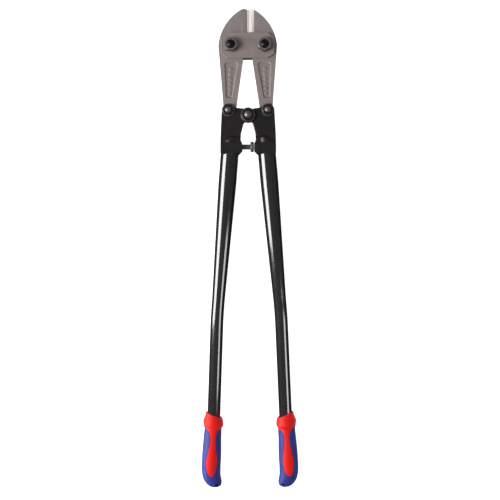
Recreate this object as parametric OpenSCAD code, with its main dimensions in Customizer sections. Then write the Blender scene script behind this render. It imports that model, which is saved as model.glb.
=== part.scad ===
// Long-handled bolt cutters. Two forged jaws turn on bolts between a pair of strap plates.
// Each jaw's tail is pinned to a forged bracket, and the two brackets meet on a centre bolt
// to make the toggle. Tapered steel tubes with two-colour grips are the handles.
// The tool lies flat: +Y runs from the grips to the blades, +X is the right-hand handle's
// side and +Z is up. The origin is on the surface it lies on, under the middle of its length.
// All sizes are in millimetres.

/* [Overall] */
// Length from the grip ends to the blade tips
total_length = 914; // [820:1:1060]
// Depth of a grip, which sets how high the tool's middle plane lies
grip_depth = 40; // [36:0.5:48]

/* [Jaws] */
// Distance between the two jaw bolts
jaw_bolt_spacing = 64; // [60:0.5:68]
// Distance along the tool from the jaw bolts to the tail bolts
jaw_arm = 123.5; // [100:0.5:150]
// Reach of the blades past the jaw bolts
blade_reach = 70.5; // [60:0.5:84]
// Thickness of a jaw
jaw_thickness = 14; // [11:0.5:17]
// Half width of the closed head at the jaw bolts
head_half_width = 56; // [52:0.5:60]
// Radius of the rounded back of a blade
back_radius = 88; // [80:1:160]
// Half width of the flat at the blade tips
tip_flat = 9.3; // [6:0.1:14]
// Gap left between the closed blades
blade_gap = 0.5; // [0.3:0.1:1]
// Width of the whole ground bevel on one blade
bevel_width = 12.4; // [8:0.1:16]
// Width of the steeper strip beside the cutting edge
edge_width = 5; // [3:0.1:7]
// Depth of the pocket forged in each face of a jaw's arm
pocket_depth = 2.2; // [1:0.1:3.5]
// Radius of the eye at a jaw's tail
jaw_eye_radius = 11.5; // [10:0.1:12]

/* [Straps] */
// Thickness of a strap plate
strap_thickness = 6; // [4:0.5:8]
// Height of a strap plate along the tool
strap_height = 48; // [40:0.5:56]
// Half width of a strap plate
strap_half_width = 50.8; // [48:0.1:54]

/* [Toggle] */
// Distance between the two tail bolts
tail_bolt_spacing = 75.2; // [70:0.2:80]
// How far the centre bolt sits below the line of the tail bolts
toggle_drop = 9.3; // [6:0.1:13]
// Thickness of one ear plate of a bracket
ear_thickness = 4.5; // [3:0.1:6]
// Height of a bracket from its tail bolt down to the mouth of its socket
bracket_drop = 83.5; // [75:0.5:100]
// How far below the tail bolts the stop screw lies
stop_drop = 69.2; // [62:0.1:72]
// Half of the space between the brackets at the stop screw
stop_space = 11.2; // [9:0.1:14]
// Length of the tube spigot held in a socket
spigot_length = 28; // [20:1:30]

/* [Handles] */
// Outer diameter of a tube at its top
tube_top_d = 34.3; // [30:0.1:38]
// Outer diameter of a tube below its taper
tube_low_d = 24.5; // [20:0.1:29.5]
// Wall of a tube
tube_wall = 2; // [1.5:0.1:3]
// Outward lean of the upper run of a tube, in degrees
upper_lean = 4.7; // [3:0.1:6]
// Outward lean of the lower run of a tube, in degrees
lower_lean = 2.2; // [1:0.1:3]
// Length of a tube's straight top before its taper
tube_top_run = 55; // [20:1:60]
// Length of a tube's taper
tube_taper = 225; // [180:1:260]
// Length between the end of the taper and the bend
tube_mid_run = 32; // [2:1:60]
// Length of a grip along its tube
grip_length = 139; // [120:1:160]

/* [Fasteners] */
// Thread diameter of a jaw bolt
jaw_bolt_d = 16; // [14:0.5:18]
// Thread diameter of a tail bolt
tail_bolt_d = 12; // [10:0.5:14]
// Thread diameter of the centre bolt
centre_bolt_d = 14; // [12:0.5:15]
// Thread diameter of the stop screw
stop_screw_d = 10; // [8:0.5:12]

/* [Clearances] */
// Radial clearance of a bolt in the hole that turns on it
running_fit = 0.05; // [0.02:0.01:0.1]
// Radial clearance of a bolt in a hole that is clamped
clamped_fit = 0.1; // [0.05:0.01:0.2]
// Gap between flat faces that slide on each other
side_gap = 0.1; // [0.1:0.05:0.3]
// Gap between the stop screw's head and the bracket it stops against
stop_gap = 0.4; // [0.3:0.05:1]
// How far the open toggle eye strays from the centre bolt over the handles' travel
toggle_stray = 2.2; // [2.2:0.1:2.6]

/* [Hidden] */
$fn = 96;

// Heights are measured from the tool's middle plane
mid_z = grip_depth / 2;
jaw_face = jaw_thickness / 2;
strap_inside = jaw_face + side_gap;
strap_face = strap_inside + strap_thickness;
ear_inside = jaw_face + side_gap;
ear_face = ear_inside + ear_thickness;
tongue_face = ear_inside - 2 * side_gap;
right_ear_face = ear_face - side_gap;
body_face = ear_face + 2.7;
block_face = ear_face + 5.7;

// Places in the tool's plane
jaw_bolt_x = jaw_bolt_spacing / 2;
jaw_bolt_y = total_length / 2 - blade_reach;
tail_x = tail_bolt_spacing / 2;
tail_y = jaw_bolt_y - jaw_arm;
strap_half = strap_height / 2;

// Jaw arm, measured from the jaw bolts' line and the tail bolt
heel_y = 14;
root_x = 8.4;
arm_inner = 15.2;
arm_outer = 8.8;
arm_corner_rise = 6.6;

// Bracket, measured from the tail bolts' line
ear_radius = jaw_eye_radius + 1.2;
jaw_cavity_radius = norm([arm_inner, arm_corner_rise]) + 1;
tongue_radius = centre_bolt_d / 2 + toggle_stray + 4;
fork_radius = tongue_radius - 0.6;
relief_radius = fork_radius + toggle_stray + 0.4;
fork_slot = tongue_radius + toggle_stray + 0.9;
window_low = 57;
window_half = stop_space + 3.4;
outer_x = tail_x + ear_radius + 2.7;
apex = [tail_x - 5.1, -47];
chevron_in = [stop_space + 0.6, -33];
chevron_out = [outer_x, -41.5];
ramp_slope = 50;

// Socket and tube
mouth_y = tail_y - bracket_drop;
mouth_x = outer_x - tube_top_d / 2 / cos(upper_lean);
spigot_radius = tube_top_d / 2 - 3.65;
bend_at = [mouth_x, mouth_y]
    + (tube_top_run + tube_taper + tube_mid_run) * [sin(upper_lean), -cos(upper_lean)];

// Grip sections as [distance down the grip, outer wall, inner wall, wall above and below as a
// share of the deepest], where a wall is measured from the tube's surface. Past the tube's end a
// wall may be negative, and a negative share is a share of the tube's radius
grip_rows = [
    [-8, 2.4, 0.4, 0.25], [0, 3.8, 1.8, 0.46], [12, 6.8, 5.5, 0.83], [20, 6.6, 5.3, 0.86],
    [26, 4.8, 3.4, 0.67], [42, 5.8, 3.2, 0.76], [62, 7, 3.8, 0.93], [82, 7.8, 4.2, 1],
    [100, 7.9, 3.8, 0.98], [112, 6.8, 4, 0.88], [121, 4.6, 5.6, 0.72],
    [128, 0.9, 7, 0.44], [134, -4.7, 5.8, 0.06], [139, -13.2, -1.2, -0.6]
];
grip_row_length = 139;
mouth_slant = 17;
slot_at = [-9.8, 131.5];
slot_length = 6;
slot_width = 3.4;
tube_end_inset = 16;
grip_scale = grip_length / grip_row_length;
low_radius = tube_low_d / 2;

// The grip's top lies on the tube so that the grip's rounded end is the end of the tool
end_inner = low_radius + grip_rows[len(grip_rows) - 1][2];
grip_top_y = -total_length / 2 + grip_length * cos(lower_lean) + end_inner * sin(lower_lean);
low_run = (bend_at[1] - grip_top_y) / cos(lower_lean);
grip_top = bend_at + low_run * [sin(lower_lean), -cos(lower_lean)];

function unit(v) = v / norm(v);

// Arc of radius r that rounds the corner at b on the way from a to c
function corner(a, b, c, r, n = 6) =
    let (u = unit(a - b), v = unit(c - b),
         half = acos(u * v) / 2,
         centre = b + unit(u + v) * r / sin(half),
         p = b + u * r / tan(half) - centre,
         q = b + v * r / tan(half) - centre,
         start = atan2(p[1], p[0]),
         turn = atan2(p[0] * q[1] - p[1] * q[0], p * q))
    [for (i = [0:n]) centre + r * [cos(start + turn * i / n), sin(start + turn * i / n)]];

// Closed outline from rows of [x, y, corner radius]
function rounded(rows) =
    let (n = len(rows), p = [for (r = rows) [r[0], r[1]]])
    [for (i = [0:n - 1]) each rows[i][2] > 0
        ? corner(p[(i + n - 1) % n], p[i], p[(i + 1) % n], rows[i][2]) : [p[i]]];

// Arc of radius r from p to q that bulges to the left of the way from p to q
function bulge(p, q, r, n = 24) =
    let (half = norm(q - p) / 2, d = unit(q - p),
         centre = (p + q) / 2 - sqrt(r * r - half * half) * [-d[1], d[0]],
         start = atan2(p[1] - centre[1], p[0] - centre[0]),
         turn = -2 * asin(half / r))
    [for (i = [0:n]) centre + r * [cos(start + turn * i / n), sin(start + turn * i / n)]];

// Moves a shape drawn about the middle plane to its height
module at_line(y) { translate([0, y, mid_z]) children(); }

// A plate between two heights
module plate(low, high) { translate([0, 0, low]) linear_extrude(high - low) children(); }

// The same plate on both sides of the middle plane
module both_plates(low, high) {
    plate(low, high) children();
    plate(-high, -low) children();
}

// A through cut of a given radius
module through(r) { cylinder(r = r, h = 200, center = true); }

// Mirror copy for the left-hand side
module on_side(side) { if (side < 0) mirror([1, 0, 0]) children(); else children(); }

// Hexagon nut or head with its corners turned off, standing on z = 0
module hexagon(across, height, both_ends = false) {
    corner_r = across / 2 / cos(30);
    bevel = round((corner_r - across / 2 * 0.97) * tan(30) * 100) / 100;
    intersection() {
        cylinder(r = corner_r, h = height, $fn = 6);
        union() {
            translate([0, 0, height - bevel])
                cylinder(r1 = corner_r + 0.01, r2 = across / 2 * 0.97, h = bevel);
            translate([0, 0, both_ends ? bevel : 0])
                cylinder(r = corner_r + 0.01, h = height - bevel - (both_ends ? bevel : 0));
            if (both_ends) cylinder(r1 = across / 2 * 0.97, r2 = corner_r + 0.01, h = bevel);
        }
    }
}

// Bolt with a hexagon head under the plate, a plain shank and a domed end
module bolt(d, head_across, head_h, under, over) {
    dome = d * 0.22;
    ball = (d * d / 4 + dome * dome) / 2 / dome;
    translate([0, 0, -under]) mirror([0, 0, 1]) hexagon(head_across, head_h);
    translate([0, 0, -under]) cylinder(d = d, h = under + over - dome - 1);
    translate([0, 0, over - dome - 2]) intersection() {
        cylinder(d = d, h = dome + 2);
        translate([0, 0, dome + 2 - ball]) sphere(r = ball);
    }
}

module nut(d, across, height, low, turn) {
    translate([0, 0, low]) rotate([0, 0, turn]) difference() {
        hexagon(across, height);
        through(d / 2 + clamped_fit);
    }
}

module washer(d, outer, thickness, low) {
    translate([0, 0, low]) difference() {
        cylinder(d = outer, h = thickness);
        through(d / 2 + clamped_fit);
    }
}

// ---- Head ----

// x of the jaw arm's outer and inner edges at a height y from the jaw bolts' line
function jaw_outer(y) = head_half_width + (head_half_width - tail_x - arm_outer) * y / jaw_arm;
function jaw_inner(y) = root_x + (tail_x - arm_inner - root_x)
    * (-strap_half + 2 - y) / (jaw_arm - arm_corner_rise - strap_half + 2);

module jaw_outline() {
    polygon(concat(
        [[blade_gap / 2, heel_y]],
        [[blade_gap / 2, blade_reach - 1.4], [blade_gap / 2 + 0.4, blade_reach - 0.4],
            [blade_gap / 2 + 1.4, blade_reach]],
        bulge([tip_flat, blade_reach], [head_half_width - 0.4, 4], back_radius),
        [[head_half_width + 0.1, 0], [head_half_width - 0.3, -4]],
        [[tail_x + arm_outer, -jaw_arm]],
        corner([tail_x, -jaw_arm], [tail_x - arm_inner, -jaw_arm + arm_corner_rise],
            [root_x, -strap_half + 2], 3),
        corner([tail_x - arm_inner, -jaw_arm + arm_corner_rise], [root_x, -strap_half + 2],
            [blade_gap / 2, heel_y], 40)
    ));
    translate([tail_x, -jaw_arm]) circle(jaw_eye_radius);
}

module pocket_outline() {
    top = -strap_half - 6.5;
    low = -jaw_arm + 23;
    polygon(rounded([
        [jaw_inner(top) + 7.8, top, 6],
        [jaw_outer(top) - 8.6, top, 6.5],
        [jaw_outer(low) - 5.8, low, 3.6],
        [jaw_inner(low) + 10, low, 3.6]
    ]));
}

// A row of plain raised studs down the middle of the pocket
module pocket_studs() {
    count = 6;
    top = -strap_half - 20;
    low = -jaw_arm + 32;
    for (i = [0:count - 1]) {
        y = top + (low - top) * i / (count - 1);
        x = (jaw_inner(y) + 8.6 + jaw_outer(y) - 7) / 2;
        translate([x, y]) circle(2.2, $fn = 24);
    }
}

module right_jaw_forging() {
    difference() {
        plate(-jaw_face, jaw_face) jaw_outline();
        // Two ground facets on each face bring the blade down to its edge
        for (s = [0, 1]) mirror([0, 0, s])
            translate([0, blade_reach + 5, 0]) rotate([90, 0, 0])
                linear_extrude(blade_reach + 5 - heel_y) polygon([
                    [-2, 0.4], [blade_gap / 2, 0.4], [edge_width, jaw_face * 0.6],
                    [bevel_width, jaw_face], [bevel_width, jaw_face + 5], [-2, jaw_face + 5]
                ]);
        both_plates(jaw_face - pocket_depth, jaw_face + 1) pocket_outline();
        translate([jaw_bolt_x, 0, 0]) through(jaw_bolt_d / 2 + running_fit);
        translate([tail_x, -jaw_arm, 0]) through(tail_bolt_d / 2 + running_fit);
    }
    both_plates(jaw_face - pocket_depth - 0.5, jaw_face - pocket_depth + 1.2) pocket_studs();
}

module left_jaw() { color("#8C8280") at_line(jaw_bolt_y) on_side(-1) right_jaw_forging(); }
module right_jaw() { color("#8C8280") at_line(jaw_bolt_y) right_jaw_forging(); }

module strap(low) {
    cut_x = 13;
    cut_y = 8.5;
    w = strap_half_width;
    h = strap_half;
    difference() {
        plate(low, low + strap_thickness) polygon([
            [w - cut_x, h], [w, h - cut_y], [w, cut_y - h], [w - cut_x, -h],
            [cut_x - w, -h], [-w, cut_y - h], [-w, h - cut_y], [cut_x - w, h]
        ]);
        for (s = [-1, 1]) translate([s * jaw_bolt_x, 0, 0]) through(jaw_bolt_d / 2 + clamped_fit);
    }
}

module front_strap() { color("#8C8280") at_line(jaw_bolt_y) strap(strap_inside); }
module rear_strap() { color("#8C8280") at_line(jaw_bolt_y) strap(-strap_face); }

jaw_nut_across = jaw_bolt_d * 1.5;
jaw_nut_height = jaw_bolt_d * 0.8;

module jaw_bolt(side) {
    at_line(jaw_bolt_y) translate([side * jaw_bolt_x, 0, 0])
        bolt(jaw_bolt_d, jaw_nut_across, mid_z - strap_face, strap_face,
            strap_face + jaw_nut_height + 4);
}
module jaw_nut(side, turn) {
    at_line(jaw_bolt_y) translate([side * jaw_bolt_x, 0, 0])
        nut(jaw_bolt_d, jaw_nut_across, jaw_nut_height, strap_face, turn);
}
module left_jaw_bolt() { color("#2A2C31") jaw_bolt(-1); }
module right_jaw_bolt() { color("#2A2C31") jaw_bolt(1); }
module left_jaw_nut() { color("#6E6866") jaw_nut(-1, 12); }
module right_jaw_nut() { color("#6E6866") jaw_nut(1, 26); }

// ---- Toggle ----

// The bracket's side seen from the front, without its eye on the centre bolt
module bracket_outline() {
    polygon(rounded([
        [0, -toggle_drop + fork_radius - 1.5, 0],
        [tail_x - 10, 5.4, 0],
        [tail_x, 5.4, 0],
        [tail_x + ear_radius, 0, 0],
        [outer_x - 0.6, -40, 60],
        [outer_x, -55, 0],
        [outer_x, -bracket_drop, 1.5],
        [stop_space + 7, -bracket_drop, 1.5],
        [stop_space, -stop_drop - 7, 4],
        [stop_space, -stop_drop + 5, 3],
        [window_half, -window_low, 5],
        [stop_space + 2.8, -43, 20],
        [8.4, -toggle_drop - 12, 4],
        [0, -toggle_drop - 12, 0]
    ]));
    translate([tail_x, 0]) circle(ear_radius);
}

// Half-plane on one side of the line through two points, as a big square
module beside(a, b) {
    translate(a) rotate(atan2(b[1] - a[1], b[0] - a[0])) translate([-200, -400]) square([400, 400]);
}

// A sloped end for the raised body: everything above the ramp that rises from the line a to b
module above_ramp(a, b) {
    translate([a[0], a[1], ear_face]) rotate([0, 0, atan2(b[1] - a[1], b[0] - a[0])])
        rotate([-ramp_slope, 0, 0]) translate([-60, -60, 0]) cube([160, 120, 60]);
}

// Raised lower body on both faces: a flat slab with the tube's round back standing out of it
module raised_body() {
    halves = [[chevron_in, apex], [apex, chevron_out]];
    for (i = [0, 1]) difference() {
        intersection() {
            union() {
                plate(-body_face, body_face) bracket_outline();
                translate([mouth_x, -bracket_drop, 0]) rotate([0, 0, upper_lean]) rotate([-90, 0, 0])
                    translate([0, 0, -10]) cylinder(r = tube_top_d / 2, h = 60);
            }
            plate(-60, 60) intersection() {
                translate([-100, -bracket_drop]) square([300, bracket_drop - 20]);
                beside(halves[i][0], halves[i][1]);
                beside(i == 0 ? apex - [0, 100] : apex + [0, 100],
                    i == 0 ? apex + [0, 100] : apex - [0, 100]);
            }
        }
        for (s = [0, 1]) mirror([0, 0, s]) above_ramp(halves[i][0], halves[i][1]);
    }
    // Flat block around the stop screw
    plate(-block_face, block_face) intersection() {
        bracket_outline();
        translate([0, -bracket_drop]) square([outer_x, bracket_drop - stop_drop + 6]);
    }
}

// Space inside the bracket in which the jaw's tail turns, open upwards and outwards
module jaw_cavity() {
    plate(-ear_inside, ear_inside) translate([tail_x, 0]) {
        circle(jaw_cavity_radius);
        translate([-jaw_cavity_radius, 0]) square([jaw_cavity_radius + 60, 60]);
        translate([0, -jaw_cavity_radius]) square([60, jaw_cavity_radius + 60]);
    }
}

module bracket(fork) {
    face = fork ? ear_face : right_ear_face;
    tongue_hole = centre_bolt_d / 2 + toggle_stray + 0.4;
    difference() {
        union() {
            difference() {
                union() {
                    plate(-face, face) bracket_outline();
                    raised_body();
                }
                jaw_cavity();
                translate([0, -toggle_drop, 0]) {
                    if (fork) {
                        plate(-ear_inside, ear_inside) translate([-40, -fork_slot - 2])
                            square([40 + fork_slot, 60]);
                    } else {
                        both_plates(tongue_face, ear_face + 10) circle(relief_radius);
                        plate(-20, 20) translate([-60, -40]) square([60, 80]);
                    }
                }
            }
            translate([0, -toggle_drop, 0]) {
                if (fork) both_plates(ear_inside, ear_face) circle(fork_radius);
                else plate(-tongue_face, tongue_face) circle(tongue_radius);
            }
        }
        translate([tail_x, 0, 0]) through(tail_bolt_d / 2 + clamped_fit);
        translate([0, -toggle_drop, 0]) through(fork ? centre_bolt_d / 2 + clamped_fit : tongue_hole);
        if (fork) plate(-60, 60) translate([-60, -toggle_drop - 40]) difference() {
            square([60, 80]);
            translate([60, 40]) circle(fork_radius);
        }
        // Socket for the tube's spigot
        translate([mouth_x, -bracket_drop, 0]) rotate([0, 0, upper_lean]) rotate([-90, 0, 0])
            translate([0, 0, -10]) cylinder(r = spigot_radius, h = 12 + spigot_length);
        if (fork) translate([0, -stop_drop, 0]) rotate([0, 90, 0])
            cylinder(r = stop_screw_d / 2 + running_fit, h = mouth_x);
    }
}

module left_bracket() { color("#2B2626") at_line(tail_y) on_side(-1) bracket(true); }
module right_bracket() { color("#2B2626") at_line(tail_y) bracket(false); }

tail_nut_across = tail_bolt_d * 1.58;
tail_washer_t = 2;

module tail_bolt(side) {
    at_line(tail_y) translate([side * tail_x, 0, 0])
        bolt(tail_bolt_d, tail_nut_across, tail_bolt_d * 0.6, side < 0 ? ear_face : right_ear_face,
            ear_face + tail_washer_t + tail_bolt_d * 0.6 + 3);
}
module tail_washer(side) {
    at_line(tail_y) translate([side * tail_x, 0, 0])
        washer(tail_bolt_d, tail_bolt_d * 2, tail_washer_t, side < 0 ? ear_face : right_ear_face);
}
module tail_nut(side, turn) {
    at_line(tail_y) translate([side * tail_x, 0, 0])
        nut(tail_bolt_d, tail_nut_across, tail_bolt_d * 0.6,
            tail_washer_t + (side < 0 ? ear_face : right_ear_face), turn);
}
module left_tail_bolt() { color("#3A3B40") tail_bolt(-1); }
module right_tail_bolt() { color("#3A3B40") tail_bolt(1); }
module left_tail_washer() { color("#4A4B50") tail_washer(-1); }
module right_tail_washer() { color("#4A4B50") tail_washer(1); }
module left_tail_nut() { color("#3A3B40") tail_nut(-1, 10); }
module right_tail_nut() { color("#3A3B40") tail_nut(1, 20); }

centre_nut_across = centre_bolt_d * 1.57;
centre_washer_t = 2.5;

module at_centre() { at_line(tail_y - toggle_drop) children(); }

module centre_bolt() {
    color("#3A3B40") at_centre()
        bolt(centre_bolt_d, centre_nut_across, centre_bolt_d * 0.55, ear_face,
            ear_face + centre_washer_t + centre_bolt_d * 0.6 + 3);
}
module centre_washer() {
    color("#4A4B50") at_centre() washer(centre_bolt_d, centre_bolt_d * 2, centre_washer_t, ear_face);
}
module centre_nut() {
    color("#3A3B40") at_centre()
        nut(centre_bolt_d, centre_nut_across, centre_bolt_d * 0.6, ear_face + centre_washer_t, 30);
}

// Screw threaded into the left bracket: its head stops the handles against the right one
module stop_screw() {
    across = stop_screw_d * 1.7;
    head = stop_screw_d * 0.66;
    head_face = stop_space - stop_gap;
    color("#8A8580") at_line(tail_y - stop_drop) rotate([0, 90, 0]) {
        translate([0, 0, head_face - head]) rotate([0, 0, 30]) hexagon(across, head, true);
        translate([0, 0, -stop_space - 17])
            cylinder(d = stop_screw_d, h = head_face - head / 2 + stop_space + 17);
    }
}

// ---- Handles ----

// Runs of a tube's outside, or of its hollow when less is the wall. The bend is a mitre, and
// both runs are cut on its plane
module tube_runs(less) {
    top_r = tube_top_d / 2 - less;
    low_r = tube_low_d / 2 - less;
    taper_low = -tube_mid_run;
    taper_top = taper_low - tube_taper;
    translate(bend_at) rotate([0, 0, (upper_lean + lower_lean) / 2]) {
        difference() {
            rotate([0, 0, (upper_lean - lower_lean) / 2]) rotate([90, 0, 0]) {
                translate([0, 0, taper_top - tube_top_run - 6])
                    cylinder(r = top_r, h = tube_top_run + 6);
                translate([0, 0, taper_top]) cylinder(r1 = top_r, r2 = low_r, h = tube_taper);
                translate([0, 0, taper_low]) cylinder(r = low_r, h = tube_mid_run + 2);
            }
            translate([-50, -100, -50]) cube(100);
        }
        difference() {
            rotate([0, 0, (lower_lean - upper_lean) / 2]) rotate([90, 0, 0])
                translate([0, 0, -2])
                    cylinder(r = low_r, h = low_run + grip_length - tube_end_inset + 2);
            translate([-50, 0, -50]) cube(100);
        }
    }
}

module tube(side) {
    translate([0, 0, mid_z]) on_side(side) difference() {
        union() {
            difference() {
                tube_runs(0);
                translate([0, mouth_y, -50]) cube([100, 50, 100]);
            }
            translate([mouth_x, mouth_y]) rotate([0, 0, upper_lean]) rotate([90, 0, 0])
                translate([0, 0, -spigot_length])
                    cylinder(r = spigot_radius - 0.05, h = spigot_length + 12);
        }
        difference() {
            tube_runs(tube_wall);
            translate([0, mouth_y - 12, -50]) cube([100, 60, 100]);
        }
        translate([mouth_x, mouth_y]) rotate([0, 0, upper_lean]) rotate([90, 0, 0])
            translate([0, 0, -spigot_length - 1])
                cylinder(r = spigot_radius - tube_wall, h = spigot_length + 20);
        if (side < 0) translate([0, tail_y - stop_drop, 0]) rotate([0, 90, 0])
            cylinder(r = stop_screw_d / 2 + 0.6, h = mouth_x);
    }
}

module left_tube() { color("#2A2829") tube(-1); }
module right_tube() { color("#2A2829") tube(1); }

// One ring of the grip: a slightly squared oval, wider to the outside
function squared(v) = sign(v) * pow(abs(v), 0.9);
function grip_ring(row, n) =
    let (outer = low_radius + row[1], inner = low_radius + row[2],
         deep = low_radius + row[3] * (row[3] < 0 ? low_radius : grip_depth / 2 - low_radius))
    [for (k = [0:n - 1]) [
        (outer - inner) / 2 + (outer + inner) / 2 * squared(cos(360 * k / n)),
        -row[0] * grip_scale,
        deep * squared(sin(360 * k / n))]];

module grip_form() {
    n = 32;
    count = len(grip_rows);
    points = [for (row = grip_rows) each grip_ring(row, n)];
    translate([grip_top[0], grip_top[1], mid_z]) rotate([0, 0, lower_lean]) polyhedron(points, concat(
        [[for (k = [0:n - 1]) k]],
        [for (i = [0:count - 2], k = [0:n - 1])
            [i * n + k, (i + 1) * n + k, (i + 1) * n + (k + 1) % n, i * n + (k + 1) % n]],
        [[for (k = [0:n - 1]) count * n - 1 - k]]
    ));
}

// Plan of the red moulding: a collar that narrows to a neck and ends in a long oval tongue
tongue_rows = [
    [20, 15], [24, 13.4], [28, 10.4], [32, 7.6], [36, 5.6], [40, 4.6], [52, 5], [64, 7], [76, 9.2],
    [86, 10.3], [96, 9.7], [105, 8], [111, 5.6], [115, 2]
];
tongue_lean = 1.2;
collar_length = 24;

module inlay_plan() {
    rotate(tongue_lean) polygon(concat(
        [for (r = tongue_rows) [-r[1] - 1, -r[0] * grip_scale]],
        [for (i = [len(tongue_rows) - 1:-1:0]) [tongue_rows[i][1] - 1, -tongue_rows[i][0] * grip_scale]]
    ));
}

// Everything the red moulding may fill: the whole collar, and the tongue near each face
module inlay_space() {
    translate([grip_top[0], grip_top[1], mid_z]) rotate([0, 0, lower_lean]) {
        plate(-40, 40) translate([-40, -collar_length * grip_scale]) square([80, 80]);
        both_plates(grip_depth * 0.305, 40) inlay_plan();
    }
}

// Trim of the collar's slanted mouth, bore for the tube and slot for a lanyard
module grip_cuts() {
    translate([grip_top[0], grip_top[1], mid_z]) rotate([0, 0, lower_lean]) {
        rotate([0, 0, mouth_slant]) translate([-60, 0, -50]) cube([120, 60, 100]);
        rotate([90, 0, 0]) translate([0, 0, -20])
            cylinder(d = tube_low_d + 0.1, h = grip_length - tube_end_inset + 21);
        translate([slot_at[0], -slot_at[1] * grip_scale, 0]) {
            straight = slot_length - slot_width;
            for (s = [-1, 1]) translate([s * straight / 2, 0, 0]) through(slot_width / 2);
            translate([-straight / 2, -slot_width / 2, -50]) cube([straight, slot_width, 100]);
        }
    }
}

module grip(side) {
    on_side(side) difference() {
        grip_form();
        inlay_space();
        grip_cuts();
    }
}

module grip_inlay(side) {
    on_side(side) difference() {
        intersection() {
            grip_form();
            inlay_space();
        }
        grip_cuts();
    }
}

module left_grip() { color("#3A4494") grip(-1); }
module right_grip() { color("#3A4494") grip(1); }
module left_grip_inlay() { color("#F0221A") grip_inlay(-1); }
module right_grip_inlay() { color("#F0221A") grip_inlay(1); }

front_strap();
rear_strap();
left_jaw();
right_jaw();
left_jaw_bolt();
right_jaw_bolt();
left_jaw_nut();
right_jaw_nut();
left_bracket();
right_bracket();
left_tail_bolt();
right_tail_bolt();
left_tail_washer();
right_tail_washer();
left_tail_nut();
right_tail_nut();
centre_bolt();
centre_washer();
centre_nut();
stop_screw();
left_tube();
right_tube();
left_grip();
right_grip();
left_grip_inlay();
right_grip_inlay();
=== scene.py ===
"""Long-handled bolt cutters lying flat: forged jaws between strap plates, a black bracket
toggle, gloss black tapered tubes and two-colour moulded grips."""
import math

import bmesh
import bpy
import numpy as np
from mathutils import Matrix, Vector


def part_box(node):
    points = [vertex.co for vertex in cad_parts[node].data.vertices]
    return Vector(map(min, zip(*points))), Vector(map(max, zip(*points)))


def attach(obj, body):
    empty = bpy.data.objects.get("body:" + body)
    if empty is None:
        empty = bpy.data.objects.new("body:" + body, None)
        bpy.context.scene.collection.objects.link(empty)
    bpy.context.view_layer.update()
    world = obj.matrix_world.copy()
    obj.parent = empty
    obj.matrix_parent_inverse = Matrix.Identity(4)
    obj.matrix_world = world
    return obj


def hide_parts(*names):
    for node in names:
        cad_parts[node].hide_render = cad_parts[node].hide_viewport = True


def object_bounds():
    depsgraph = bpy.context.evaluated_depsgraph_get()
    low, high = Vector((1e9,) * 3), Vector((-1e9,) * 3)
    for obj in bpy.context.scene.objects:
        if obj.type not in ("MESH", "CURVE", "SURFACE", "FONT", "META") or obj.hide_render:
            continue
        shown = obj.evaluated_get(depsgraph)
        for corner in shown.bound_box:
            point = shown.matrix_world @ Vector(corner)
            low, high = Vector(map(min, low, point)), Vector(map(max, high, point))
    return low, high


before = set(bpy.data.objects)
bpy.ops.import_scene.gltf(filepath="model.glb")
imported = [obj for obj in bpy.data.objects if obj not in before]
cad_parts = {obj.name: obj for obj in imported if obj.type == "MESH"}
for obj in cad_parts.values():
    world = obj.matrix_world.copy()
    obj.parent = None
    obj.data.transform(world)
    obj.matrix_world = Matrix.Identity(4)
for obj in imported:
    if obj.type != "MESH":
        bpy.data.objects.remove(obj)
cad_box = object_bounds()
mm = 0.001
SIDES = {"left": -1, "right": 1}


# ---- Forged jaws -----------------------------------------------------------------------------
# Two drop-forged alloy steel jaws, shot-blasted and left a warm matt grey under clear lacquer.
# The blades are ground bare down to the cutting edges, and each arm has a pocket with studs.
def linear(hex_colour):
    """An sRGB hex colour as the linear RGBA that a shader takes."""
    channels = [int(hex_colour[i:i + 2], 16) / 255 for i in (1, 3, 5)]
    return [c / 12.92 if c <= 0.04045 else ((c + 0.055) / 1.055) ** 2.4 for c in channels] + [1.0]


def add(tree, kind, inputs=None, **settings):
    """One node, with its settings, and its inputs either linked or set."""
    node = tree.nodes.new(kind)
    for key, value in settings.items():
        setattr(node, key, value)
    for key, value in (inputs or {}).items():
        if isinstance(value, bpy.types.NodeSocket):
            tree.links.new(value, node.inputs[key])
        else:
            node.inputs[key].default_value = value
    return node


def new_material(name):
    """A material with only an output, its tree, and the object's own coordinates in metres."""
    material = bpy.data.materials.new(name)
    material.use_nodes = True
    tree = material.node_tree
    tree.nodes.clear()
    place = add(tree, "ShaderNodeTexCoord").outputs["Object"]
    return material, tree, place


def finish_material(tree, shader):
    """Puts the shader on the material's surface."""
    add(tree, "ShaderNodeOutputMaterial", {"Surface": shader.outputs["BSDF"]})


def merged_copy(node, name, flat_angle=0.4):
    """A copy of a CAD node's mesh with its loose triangles merged into whole faces."""
    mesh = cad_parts[node].data.copy()
    mesh.name = name
    if mesh.has_custom_normals:
        attribute = mesh.attributes.get("custom_normal")
        if attribute:
            mesh.attributes.remove(attribute)
    mesh.materials.clear()
    work = bmesh.new()
    work.from_mesh(mesh)
    bmesh.ops.remove_doubles(work, verts=work.verts, dist=0.002 * mm)
    if flat_angle:
        bmesh.ops.dissolve_limit(work, angle_limit=math.radians(flat_angle), verts=work.verts,
                                 edges=work.edges, use_dissolve_boundaries=False)
    for edge in work.edges:
        edge.smooth = True
    for face in work.faces:
        face.smooth = True
    work.to_mesh(mesh)
    work.free()
    piece = bpy.data.objects.new(name, mesh)
    bpy.context.scene.collection.objects.link(piece)
    return piece


def apply_modifiers(piece):
    """Turns the piece into the plain mesh that its modifiers make."""
    bpy.context.view_layer.update()
    graph = bpy.context.evaluated_depsgraph_get()
    made = bpy.data.meshes.new_from_object(piece.evaluated_get(graph), depsgraph=graph)
    piece.modifiers.clear()
    piece.data = made
    return piece


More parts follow.
